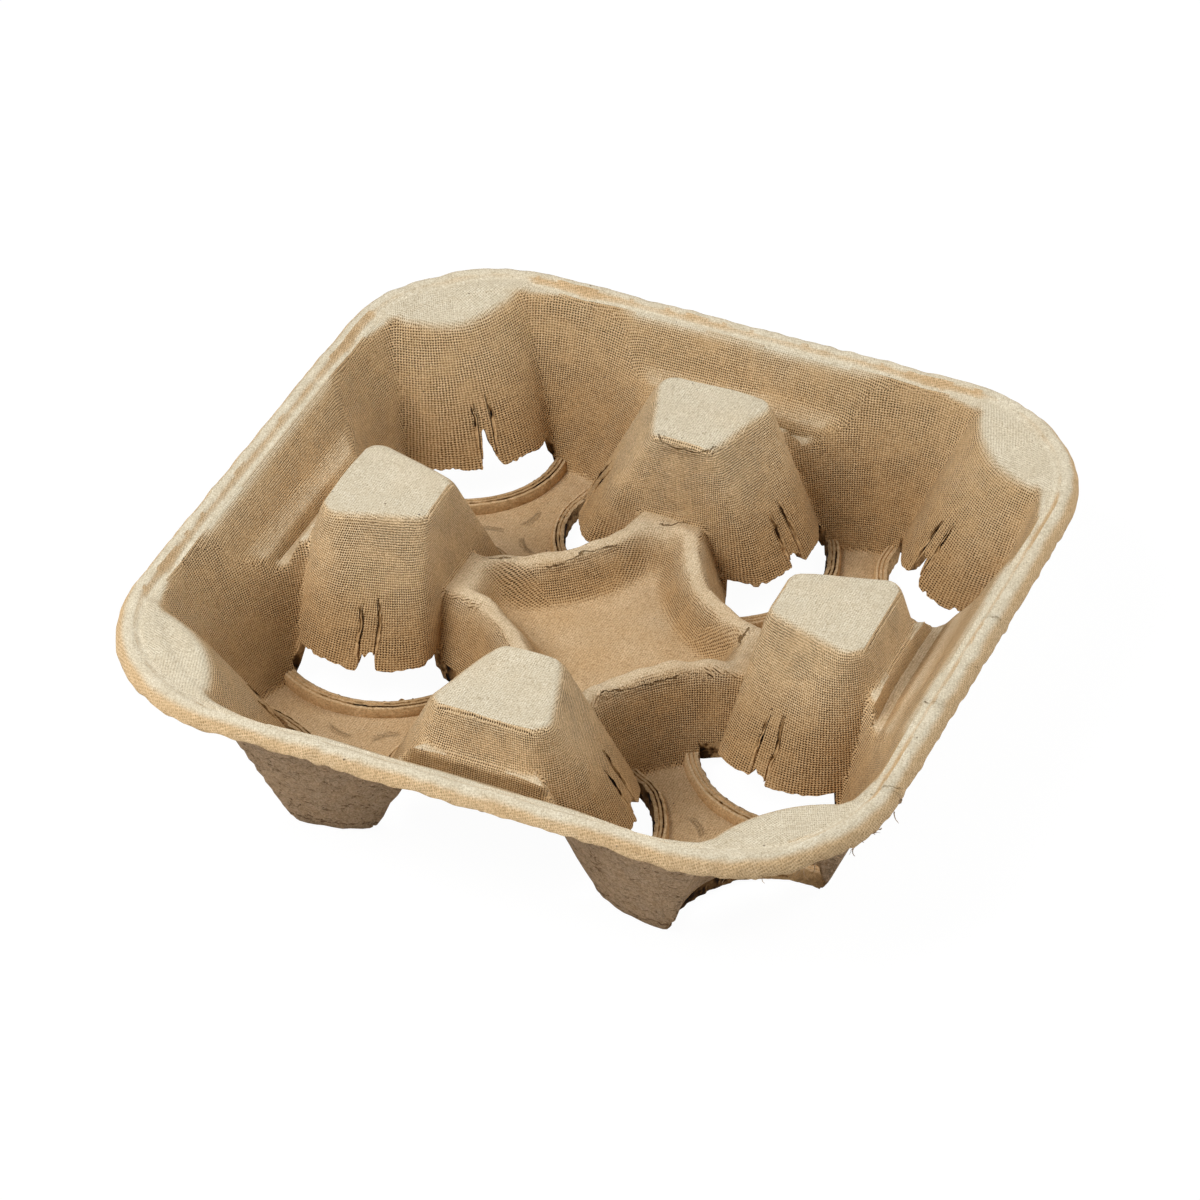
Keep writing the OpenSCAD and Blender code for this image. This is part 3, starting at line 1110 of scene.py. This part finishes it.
@dataclass
class CupCarrier:
    """The whole carrier as one closed shell."""

    sizes: FormSizes = field(default_factory=FormSizes)
    screen_half: float = 97.4
    back_half: float = 98.7
    back_lift: float = 2.3
    back_push: float = 1.2
    left_push: float = 1.0
    right_pull: float = 2.0

    def flaps(self) -> list[Flap]:
        """List the twelve flaps.

        Returns:
            Two tower flaps and one corner flap for each pocket.
        """
        s = self.sizes
        lean = math.radians(102.3)
        result = []
        for number, (sx, sy) in enumerate(SIGNS):
            pocket = (sx * s.pocket_c, sy * s.pocket_c)
            seed = 100 + 3 * number
            side = math.atan2(sy * math.sin(lean), sx * math.cos(lean))
            other = math.atan2(sy * math.cos(lean), sx * math.sin(lean))
            near = sx > 0 > sy
            result.append(Flap(pocket, (sx * s.foot[0], sy * s.foot[1]), s.foot_r, side, seed,
                               notch=2.0 if near else 4.2))
            result.append(Flap(pocket, (sx * s.foot[1], sy * s.foot[0]), s.foot_r, other, seed + 1))
            result.append(Flap(pocket, (sx * s.brace_c, sy * s.brace_c), s.brace_r,
                               math.atan2(-sy, -sx), seed + 2, edge_z=11.4, notch=8.0 if sx < 0 else 7.0, lean=1))
        return result

    def settle(self, shell: bpy.types.Object) -> None:
        """Warp the rim as the dried carrier does: its back corner up, its right side in at the front.

        Args:
            shell: The shell before it is cut.
        """
        points = Build.coords(shell) / MM
        x, y, z = points.T
        outer = soft_step(z, 30.0, 46.0) * soft_step(np.maximum(np.abs(x), np.abs(y)), 72.0, 98.0)
        back, left = soft_step(y, -100.0, 100.0), np.clip((1.0 - x / 100.0) / 2.0, 0.0, 1.0)
        points[:, 2] += outer * self.back_lift * back * (0.3 + 0.7 * left)
        points[:, 1] += outer * self.back_push * soft_step(y, 30.0, 98.0)
        # x, y and z are views of the points, so the pull at the right goes by the places that the push has given.
        right_front = soft_step(x, 50.0, 98.0) * soft_step(-y, -60.0, 90.0)
        points[:, 0] -= outer * (self.left_push * soft_step(-x, 30.0, 98.0) + self.right_pull * right_front)
        Build.place(shell, points * MM)

    def crack(self, shell: bpy.types.Object) -> None:
        """Store how each vertex lies to the nearest crease.

        Args:
            shell: The finished shell.
        """
        spots = Build.coords(shell) / MM
        normals = np.empty(len(spots) * 3)
        shell.data.vertices.foreach_get("normal", normals)
        across, past = np.full(len(spots), FAR_ASIDE), np.full(len(spots), FAR_PAST)
        for crease in CREASES:
            aside, over = crease.measure(spots, normals.reshape(-1, 3))
            closer = np.hypot(aside, over) < np.hypot(across, past)
            across, past = np.where(closer, aside, across), np.where(closer, over, past)
        Build.attribute(shell, "crease", across)
        Build.attribute(shell, "crease_end", past)

    def model(self) -> bpy.types.Object:
        """Model the shell.

        Returns:
            The closed shell with its openings, slits and lips.
        """
        form = MouldForm(self.sizes)
        screen = MouldedSheet(form, Side.SCREEN, self.screen_half)
        back = MouldedSheet(form, Side.BACK, self.back_half)
        upper = screen.make()
        lower = back.make()
        count = len(upper.data.vertices)
        shell = Build.join([upper, lower], "carrier")
        LOG.info("sheets draped: %d vertices", len(shell.data.vertices))
        RolledRim(form, self.screen_half).sweep(shell, count)
        self.settle(shell)
        flaps = self.flaps()
        Build.combine(shell, Build.join([f.window() for f in flaps], "windows"), Change.CUT)
        Build.combine(shell, Build.join([f.lip() for f in flaps], "lips"), Change.ADD)
        hands = [(f, h) for f in flaps for h in (-1, 1)]
        Build.combine(shell, Build.join([f.fringe(form, h) for f, h in hands], "fringes"), Change.ADD)
        for inset in (0.0, self.sizes.wall):
            Build.combine(shell, Build.join([f.slit(form, h, inset) for f, h in hands], "slits"), Change.CUT)
        shell = Build.join([shell, *LooseFibres().make()], "carrier")
        LOG.info("shell cut: %d faces", len(shell.data.polygons))
        Build.only(shell)
        bpy.ops.object.shade_smooth_by_angle(angle=math.radians(40.0))
        self.crack(shell)
        return shell


class Graph:
    """Short calls that add shader nodes and links to a node tree."""

    def __init__(self, tree: bpy.types.NodeTree) -> None:
        """Take a node tree to add to.

        Args:
            tree: The tree.
        """
        self.tree = tree

    def add(self, kind: str, inputs: dict[str | int, Value | Colour] | None = None,
            **settings: object) -> bpy.types.Node:
        """Add a node.

        Args:
            kind: Type of the node.
            inputs: Values or links of its inputs.
            settings: Properties of the node.

        Returns:
            The node.
        """
        node = self.tree.nodes.new(kind)
        for name, value in settings.items():
            setattr(node, name, value)
        for name, value in (inputs or {}).items():
            self.feed(node.inputs[name], value)
        return node

    def feed(self, socket: Socket, value: Value | Colour) -> None:
        """Set or link an input.

        Args:
            socket: The input.
            value: A value, or an output to link.
        """
        if isinstance(value, bpy.types.NodeSocket):
            self.tree.links.new(value, socket)
        elif isinstance(value, tuple) and socket.type == "RGBA":
            socket.default_value = (*value, 1.0)
        else:
            socket.default_value = value

    def math(self, operation: str, a: Value, b: Value = 0.0, clamp: bool = False) -> Socket:
        """Add a math node.

        Args:
            operation: Its operation.
            a: First value.
            b: Second value.
            clamp: Whether the result stays between 0 and 1.

        Returns:
            The result.
        """
        return self.add("ShaderNodeMath", {0: a, 1: b}, operation=operation, use_clamp=clamp).outputs[0]

    def times(self, *values: Value) -> Socket:
        """Multiply values.

        Args:
            values: Two values or more.

        Returns:
            Their product.
        """
        product = values[0]
        for value in values[1:]:
            product = self.math("MULTIPLY", product, value)
        return product

    def lift(self, value: Value, amount: Value, share: Value) -> Socket:
        """Add a share of an amount to a value.

        Args:
            value: The value.
            amount: The amount.
            share: Share of the amount that is added.

        Returns:
            The sum.
        """
        return self.math("ADD", value, self.times(amount, share))

    def dim(self, value: Value, cover: Value, share: Value) -> Socket:
        """Lower a value where something covers it.

        Args:
            value: The value.
            cover: Where it is covered, from 0 to 1.
            share: Share that full cover takes off.

        Returns:
            The lowered value.
        """
        return self.times(value, self.math("SUBTRACT", 1.0, self.times(cover, share)))

    def stored(self, name: str) -> Socket:
        """Read a number that the mesh stores for each vertex.

        Args:
            name: Name of the attribute.

        Returns:
            The number.
        """
        return self.add("ShaderNodeAttribute", attribute_name=name).outputs["Fac"]

    def ramp(self, value: Value, low: float, high: float, to_low: float = 0.0, to_high: float = 1.0) -> Socket:
        """Map a range to another with soft ends.

        Args:
            value: The value.
            low: Start of the range.
            high: End of the range.
            to_low: Result at the start.
            to_high: Result at the end.

        Returns:
            The mapped value.
        """
        node = self.add("ShaderNodeMapRange", {0: value, 1: low, 2: high, 3: to_low, 4: to_high},
                        interpolation_type="SMOOTHSTEP")
        return node.outputs[0]

    def mix(self, share: Value, a: Value | Colour, b: Value | Colour, blend: str = "MIX") -> Socket:
        """Mix two colours.

        Args:
            share: Share of the second.
            a: First colour.
            b: Second colour.
            blend: Way of blending.

        Returns:
            The colour.
        """
        node = self.add("ShaderNodeMix", data_type="RGBA", blend_type=blend)
        self.feed(node.inputs[0], share)
        self.feed(node.inputs[6], a)
        self.feed(node.inputs[7], b)
        return node.outputs[2]

    def noise(self, place: Socket, scale: float, detail: float = 2.0, rough: float = 0.5) -> Socket:
        """Add a noise texture.

        Args:
            place: Coordinates.
            scale: Scale of the noise.
            detail: Octaves.
            rough: Strength of the finer octaves.

        Returns:
            The noise, from 0 to 1.
        """
        return self.add("ShaderNodeTexNoise", {"Vector": place, "Scale": scale, "Detail": detail,
                                               "Roughness": rough}).outputs[0]


@dataclass(frozen=True)
class PulpFields:
    """Values over the shell, in millimetres where they are lengths, that the parts of the finish share."""

    spot: Socket
    axes: bpy.types.bpy_prop_collection
    facing: Socket
    back: Socket
    rim: Socket
    middle: Socket
    minor: Socket
    grain: Socket
    patch: Socket
    lump: Socket

    @classmethod
    def read(cls, g: Graph) -> "PulpFields":
        """Add the nodes that give the values.

        Args:
            g: Graph to add to.

        Returns:
            The values.
        """
        place = g.add("ShaderNodeTexCoord").outputs["Object"]
        spot = g.add("ShaderNodeVectorMath", {0: place, 1: (1000.0, 1000.0, 1000.0)}, operation="MULTIPLY").outputs[0]
        axes = g.add("ShaderNodeSeparateXYZ", {0: spot}).outputs
        normal = g.add("ShaderNodeNewGeometry").outputs["Normal"]
        x, y = (g.math("ABSOLUTE", axis) for axis in axes[:2])
        return cls(spot=spot, axes=axes, facing=g.add("ShaderNodeSeparateXYZ", {0: normal}).outputs[2],
                   back=g.stored("back"), rim=g.ramp(g.stored("profile"), 0.0, 1.5),
                   middle=g.math("MAXIMUM", x, y), minor=g.math("MINIMUM", x, y),
                   grain=g.noise(spot, 1.9, 3.0, 0.75), patch=g.noise(spot, 0.16, 2.0, 0.5),
                   lump=g.noise(spot, 0.3, 3.0, 0.55))


@dataclass(frozen=True)
class PulpFinish:
    """Finish of moulded pulp: painted light makes it pale on its flats and upper walls, painted shade makes it
    browner low on its walls, and it is greyer and rougher on its back.
    """

    # The paler colour, which painted light gives the flats, the rim and the ridge crests.
    pale: Colour = (0.775, 0.684, 0.514)
    # Wall colours low and high up: the darker low one is painted shade, the paler high one painted light.
    brown: Colour = (0.565, 0.36, 0.174)
    upper: Colour = (0.785, 0.555, 0.31)
    # Painted light on the upper walls of the towers.
    painted_tower_light: Colour = (0.95, 0.71, 0.43)
    outside: Colour = (0.64, 0.435, 0.262)
    worn: Colour = (0.57, 0.392, 0.24)
    speck: Colour = (0.10, 0.06, 0.035)
    pitch: float = 0.62
    depth: float = 0.15
    roughness: float = 0.93
    specular: float = 0.15

    def material(self) -> bpy.types.Material:
        """Make the material.

        Returns:
            The material.
        """
        material = bpy.data.materials.new("pulp")
        material.use_nodes = True
        tree = material.node_tree
        tree.nodes.clear()
        g = Graph(tree)
        f = PulpFields.read(g)
        weave, press = self.weave(g, f), self.press(g, f)
        crack, fold = self.cracks(g, f)
        marks = self.floor_marks(g, f)
        painted_light_tone = self.painted_light_tone(g, f)
        wrinkle = g.math("ABSOLUTE", g.math("SUBTRACT", f.lump, 0.5))
        shade = g.dim(self.mottle(g, f, painted_light_tone), g.times(press, g.ramp(weave, 0.15, -0.85)), 1.0)
        shade = g.dim(shade, self.hairs(g, f), 0.3)
        shade = g.dim(shade, crack, 0.8)
        shade = g.dim(shade, marks, 0.16)
        # Painted shade in the groove outside each tower, deepest at the front.
        shade = g.dim(shade, self.groove(g, f), g.ramp(f.axes[1], -80.0, -70.0, 0.45, 0.14))
        # Painted shade: the valleys of the wrinkles on the back are darkened into thin lines.
        shade = g.dim(shade, g.ramp(wrinkle, 0.045, 0.0, 0.0, 0.22), f.back)
        tint = g.add("ShaderNodeCombineColor", {0: g.math("POWER", shade, 0.85), 1: shade,
                                                2: g.math("POWER", shade, 1.25)}).outputs[0]
        colour = g.mix(1.0, self.ground(g, f, painted_light_tone), tint, "MULTIPLY")
        colour = g.mix(self.specks(g, f), colour, self.speck)
        height = g.times(weave, press, self.depth)
        height = g.lift(height, f.grain, g.ramp(f.back, 0.0, 1.0, 0.22, 0.7))
        height = g.lift(height, f.lump, g.ramp(f.back, 0.0, 1.0, 0.55, 1.4))
        for amount, share in ((g.times(wrinkle, f.back), 4.4), (marks, 0.4), (fold, 0.45), (crack, -0.7)):
            height = g.lift(height, amount, share)
        bump = g.add("ShaderNodeBump", {"Strength": 1.0, "Distance": MM, "Height": height})
        shader = g.add("ShaderNodeBsdfPrincipled", {"Base Color": colour, "Roughness": self.roughness,
                                                    "Normal": bump.outputs[0], "Specular IOR Level": self.specular})
        tree.links.new(shader.outputs[0], g.add("ShaderNodeOutputMaterial").inputs[0])
        return material

    def weave(self, g: Graph, f: PulpFields) -> Socket:
        """Build the imprint of the screen.

        Args:
            g: Graph to add to.
            f: Shared values.

        Returns:
            The imprint, from -1 in a pit to 1.
        """
        layer = g.add("ShaderNodeUVMap", uv_map="screen").outputs[0]
        drift = g.add("ShaderNodeTexNoise", {"Vector": f.spot, "Scale": 0.5, "Detail": 2.0}).outputs["Color"]
        run = g.add("ShaderNodeVectorMath", {0: drift, 1: (0.45, 0.45, 0.45), 2: layer},
                    operation="MULTIPLY_ADD").outputs[0]
        axes = g.add("ShaderNodeSeparateXYZ", {0: run}).outputs
        waves = [g.math("SINE", g.times(axis, math.tau / self.pitch)) for axis in axes[:2]]
        return g.times(g.math("ADD", *waves), 0.5)

    def press(self, g: Graph, f: PulpFields) -> Socket:
        """Say how clearly the screen shows: on the walls more than on the flats, on the back not at all.

        Args:
            g: Graph to add to.
            f: Shared values.

        Returns:
            The strength of the imprint.
        """
        steep = g.ramp(f.facing, 0.98, 0.6, 0.36, 1.0)
        shown = g.times(steep, g.ramp(f.patch, 0.3, 0.62, 0.6, 1.0), g.math("SUBTRACT", 1.0, f.back))
        return g.dim(shown, f.rim, 0.62)

    def painted_light_tone(self, g: Graph, f: PulpFields) -> Socket:
        """Say how much painted light makes the pulp pale: on flat faces, more so high up, on the rim and on the
        crests of the ridges, with random clouds.

        Args:
            g: Graph to add to.
            f: Shared values.

        Returns:
            The share of the pale colour.
        """
        # Painted light: flat faces, more so high up, and the crests of the ridges are made paler; the clouds are
        # random.
        flat = g.times(g.ramp(f.facing, 0.6, 0.97), g.ramp(f.axes[2], 22.0, 45.0, 0.18, 1.0))
        crest = g.times(g.ramp(f.axes[2], 20.0, 25.0, 0.0, 0.22), g.ramp(f.middle, 43.0, 37.0))
        cloud = g.times(g.math("SUBTRACT", g.noise(f.spot, 0.045, 3.0, 0.6), 0.5), 0.5)
        return g.math("ADD", g.math("ADD", flat, crest), cloud, clamp=True)

    def ground(self, g: Graph, f: PulpFields, painted_light_tone: Socket) -> Socket:
        """Lay the colours of the walls, the flats and the back, with painted light on the flats and upper walls and
        painted shade low on the walls.

        Args:
            g: Graph to add to.
            f: Shared values.
            painted_light_tone: Share of the pale colour.

        Returns:
            The colour before it is shaded.
        """
        # Painted shade and light: walls are browner and darker low down, paler high up.
        wall = g.mix(g.ramp(f.axes[2], 12.0, 42.0), self.brown, self.upper)
        # Painted light: the upper walls of the towers are made paler.
        tower = g.times(g.ramp(f.minor, 30.0, 22.0), g.ramp(f.middle, 84.0, 79.0))
        wall = g.mix(g.times(tower, g.ramp(f.axes[2], 22.0, 44.0, 0.0, 0.75)), wall, self.painted_tower_light)
        rear = g.mix(g.ramp(f.patch, 0.3, 0.7), self.outside, self.worn)
        return g.mix(f.back, g.mix(painted_light_tone, wall, self.pale), rear)

    def mottle(self, g: Graph, f: PulpFields, painted_light_tone: Socket) -> Socket:
        """Vary the brightness from fibre to fibre and from patch to patch.

        Args:
            g: Graph to add to.
            f: Shared values.
            painted_light_tone: Share of the pale colour.

        Returns:
            The brightness, about 1.
        """
        blotch = g.times(g.math("SUBTRACT", f.grain, 0.5), g.ramp(painted_light_tone, 0.25, 0.9, 1.8, 1.6))
        return g.times(g.math("ADD", blotch, 1.0), g.ramp(f.patch, 0.25, 0.75, 0.93, 1.06))

    def groove(self, g: Graph, f: PulpFields) -> Socket:
        """Find the groove outside each tower, which painted shade darkens.

        Args:
            g: Graph to add to.
            f: Shared values.

        Returns:
            Where the groove is, from 0 to 1.
        """
        return g.times(g.ramp(f.middle, 80.3, 81.2), g.ramp(f.middle, 87.0, 84.0), g.ramp(f.minor, 21.0, 17.0),
                       g.ramp(f.axes[2], 36.2, 34.6))

    def cracks(self, g: Graph, f: PulpFields) -> tuple[Socket, Socket]:
        """Open the creases on the screen side and the fine cracks on the back.

        Args:
            g: Graph to add to.
            f: Shared values.

        Returns:
            The strength of the cracks and of the folds beside them.
        """
        drift = g.times(g.math("SUBTRACT", g.noise(f.spot, 0.55, 3.0, 0.6), 0.5), 2.2)
        across, past = g.math("ADD", g.stored("crease"), drift), g.stored("crease_end")
        nearest = g.math("SQRT", g.math("ADD", g.times(across, across), g.times(past, past)))
        stretched = g.add("ShaderNodeVectorMath", {0: f.spot, 1: (0.10, 0.10, 0.21)}, operation="MULTIPLY").outputs[0]
        split = g.math("ABSOLUTE", g.math("SUBTRACT", g.noise(stretched, 1.0, 3.0, 0.6), 0.5))
        dry = g.times(g.ramp(split, 0.015, 0.003), g.ramp(drift, -0.08, 0.22))
        width = g.ramp(f.lump, 0.35, 0.65, 0.12, 0.38)
        line = g.times(g.ramp(g.math("DIVIDE", nearest, width), 1.0, 0.3), 0.85)
        hem = g.math("ABSOLUTE", g.lift(g.math("SUBTRACT", f.axes[2], 4.0), drift, 2.0))
        dry = g.math("MAXIMUM", dry, g.times(g.ramp(hem, 0.45, 0.1), g.ramp(f.lump, 0.37, 0.49)))
        crack = g.math("MAXIMUM", line, g.times(dry, f.back, 0.75))
        return g.times(crack, g.ramp(f.rim, 0.0, 1.0, 1.0, 0.5)), g.ramp(nearest, 1.9, 0.4)

    def specks(self, g: Graph, f: PulpFields) -> Socket:
        """Scatter small dark specks through the pulp.

        Args:
            g: Graph to add to.
            f: Shared values.

        Returns:
            The share of speck colour.
        """
        cells = g.add("ShaderNodeTexVoronoi", {"Vector": f.spot, "Scale": 0.40}).outputs
        lot = g.add("ShaderNodeSeparateColor", {0: cells["Color"]}).outputs
        reach = g.ramp(lot[0], 0.5, 1.0, 0.0, 0.12)
        inside = g.math("SUBTRACT", reach, cells["Distance"])
        return g.times(g.ramp(inside, 0.0, 0.03), g.ramp(lot[1], 0.0, 1.0, 0.3, 0.9))

    def hairs(self, g: Graph, f: PulpFields) -> Socket:
        """Draw fibres in the surface as thin wandering lines.

        Args:
            g: Graph to add to.
            f: Shared values.

        Returns:
            The strength of the lines.
        """
        line = g.math("ABSOLUTE", g.math("SUBTRACT", g.noise(f.spot, 0.34, 2.0, 0.6), 0.5))
        return g.times(g.ramp(line, 0.012, 0.002), g.ramp(g.noise(f.spot, 0.21, 1.0), 0.5, 0.62))

    def floor_marks(self, g: Graph, f: PulpFields) -> Socket:
        """Press the three-armed mark into each pocket floor.

        Args:
            g: Graph to add to.
            f: Shared values.

        Returns:
            The height of the mark, from 0 to 1.
        """
        third, start = math.radians(120.0), math.radians(165.0)
        across, along = (g.math("SUBTRACT", g.math("ABSOLUTE", axis), 49.0) for axis in f.axes[:2])
        turn = g.math("ARCTAN2", along, across)
        part = g.math("FLOORED_MODULO", g.math("SUBTRACT", turn, start), third)
        part = g.math("SUBTRACT", part, third / 2.0)
        reach = g.math("SQRT", g.math("ADD", g.times(across, across), g.times(along, along)))
        bend = g.times(g.math("SUBTRACT", f.grain, 0.5), 2.0)
        bow = g.times(g.math("POWER", g.math("ABSOLUTE", g.math("SUBTRACT", reach, 7.0)), 2.0), 0.05)
        aside = g.math("ADD", g.times(reach, g.math("SINE", part)), g.math("SUBTRACT", bow, 0.4))
        aside = g.math("ABSOLUTE", g.math("ADD", aside, bend))
        ends = g.times(g.ramp(reach, 2.5, 4.5), g.ramp(reach, 12.0, 9.5))
        return g.times(g.ramp(aside, 1.1, 0.0), ends, g.ramp(f.axes[2], 4.0, 3.0))


@dataclass(frozen=True)
class Lamp:
    """A soft square lamp aimed at the carrier, in metres and watts."""

    name: str
    place: tuple[float, float, float]
    power: float
    size: float = 0.6
    aim_z: float = 0.02

    def hang(self) -> None:
        """Add the lamp to the scene."""
        bpy.ops.object.select_all(action="DESELECT")
        bpy.ops.object.light_add(type="AREA", location=self.place)
        lamp = bpy.context.active_object
        lamp.name = self.name
        lamp.data.size = self.size
        lamp.data.energy = self.power
        x, y, z = self.place
        lamp.rotation_euler = (math.atan2(math.hypot(x, y), z - self.aim_z), 0.0, math.atan2(-x, y) + math.pi)


@dataclass
class Studio:
    """Camera, soft light and the pale floor."""

    eye: tuple[float, float, float] = (0.357700, -0.827401, 0.747897)
    turn: tuple[float, float, float] = (51.44139, -0.15588, 23.63920)
    lens: float = 132.926
    sensor: float = 36.0
    lamps: tuple[Lamp, ...] = (Lamp("key", (-0.50, -0.56, 0.92), 11.4), Lamp("side", (0.64, 0.52, 0.80), 6.2))
    ambient: float = 0.13
    floor_grey: Colour = (0.8, 0.8, 0.8)
    floor_glow: float = 1.04
    floor_white: float = 0.93
    floor_drop: float = 0.0002

    def camera(self) -> None:
        """Place the camera as in the photograph."""
        bpy.ops.object.select_all(action="DESELECT")
        bpy.ops.object.camera_add(location=self.eye, rotation=[math.radians(a) for a in self.turn])
        camera = bpy.context.active_object
        camera.data.lens = self.lens
        camera.data.sensor_width = self.sensor
        bpy.context.scene.camera = camera

    def floor(self) -> None:
        """Lay the pale floor, white to the eye with the object's shadow kept."""
        bpy.ops.object.select_all(action="DESELECT")
        bpy.ops.mesh.primitive_plane_add(size=8.0, location=(0.0, 0.0, 0.0))
        floor = bpy.context.active_object
        floor.name = "floor"
        Build.place(floor, Build.coords(floor) + (0.0, 0.0, -self.floor_drop))
        material = bpy.data.materials.new("pale_floor")
        material.use_nodes = True
        tree = material.node_tree
        tree.nodes.clear()
        g = Graph(tree)
        rays = g.add("ShaderNodeLightPath").outputs
        seen = g.math("MAXIMUM", g.math("MAXIMUM", rays["Is Camera Ray"], rays["Is Glossy Ray"]),
                      rays["Is Transmission Ray"])
        matte = g.add("ShaderNodeBsdfDiffuse", {"Color": self.floor_grey})
        glow = g.add("ShaderNodeEmission", {"Color": WHITE, "Strength": self.floor_glow})
        share = g.times(seen, self.floor_white)
        blend = g.add("ShaderNodeMixShader", {0: share, 1: matte.outputs[0], 2: glow.outputs[0]})
        tree.links.new(blend.outputs[0], g.add("ShaderNodeOutputMaterial").inputs[0])
        floor.data.materials.append(material)

    def world(self) -> None:
        """Surround the scene with even light, white to the eye."""
        world = bpy.data.worlds.new("studio")
        bpy.context.scene.world = world
        world.use_nodes = True
        tree = world.node_tree
        tree.nodes.clear()
        g = Graph(tree)
        rays = g.add("ShaderNodeLightPath").outputs
        soft = g.add("ShaderNodeBackground", {"Color": WHITE, "Strength": self.ambient})
        white = g.add("ShaderNodeBackground", {"Color": WHITE, "Strength": 1.0})
        blend = g.add("ShaderNodeMixShader", {0: rays["Is Camera Ray"], 1: soft.outputs[0], 2: white.outputs[0]})
        tree.links.new(blend.outputs[0], g.add("ShaderNodeOutputWorld").inputs[0])

    def make(self) -> None:
        """Set up the whole studio."""
        self.camera()
        for lamp in self.lamps:
            lamp.hang()
        self.floor()
        self.world()
        bpy.context.scene.view_settings.view_transform = "Standard"


def main() -> None:
    """Build the carrier and its studio."""
    logging.basicConfig(level=logging.INFO)
    carrier = CupCarrier().model()
    carrier.data.materials.clear()
    carrier.data.materials.append(PulpFinish().material())
    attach(carrier, "root")
    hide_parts("carrier_shell")
    LOG.info("%s: %d faces", carrier.name, len(carrier.data.polygons))
    Studio().make()


if __name__ == "__main__":
    main()
